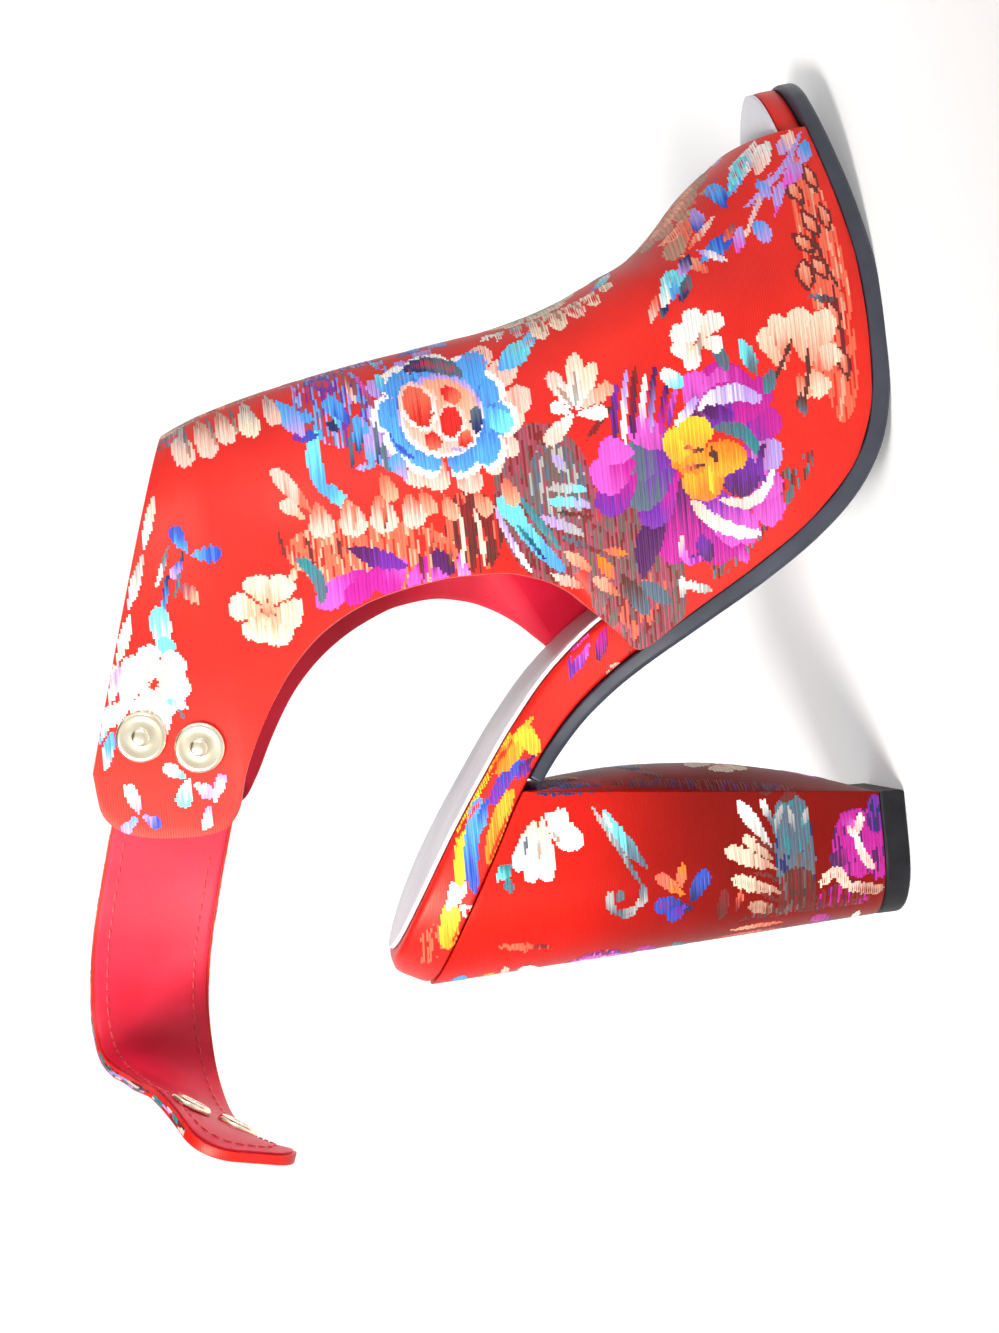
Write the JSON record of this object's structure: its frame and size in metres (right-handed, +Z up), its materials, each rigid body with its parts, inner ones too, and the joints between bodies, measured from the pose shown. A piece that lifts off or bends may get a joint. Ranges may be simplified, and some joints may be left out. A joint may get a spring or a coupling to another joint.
{
  "type": "ankle strap heel",
  "caption": "Peep-toe, high-vamp ankle strap heel, right foot: floral brocade upper with open back, ankle strap with snaps hanging open, covered block heel.",
  "frame": {"origin": "middle of the shoe's bounding box, on the floor it stands on", "axes": "+X towards the toe, +Y towards the inner side of the foot, +Z up"},
  "size_m": [0.2414, 0.0802, 0.1972],
  "materials": {
    "red_brocade": "satin-woven floral brocade, red ground with many-coloured flowers",
    "white_sock": "smooth white",
    "navy_sole": "satin navy black",
    "black_top_piece": "satin black",
    "pale_gold": "polished pale gold plate"
  },
  "bodies": {
    "root": {"outsole": "navy_sole", "insole": "red_brocade", "sock_lining": "white_sock", "upper": "red_brocade", "ankle_strap": "red_brocade", "heel": "red_brocade", "top_piece": "black_top_piece", "snap_stud_1": "pale_gold", "snap_stud_2": "pale_gold", "snap_socket_1": "pale_gold", "snap_socket_2": "pale_gold"}
  },
  "joints": []
}
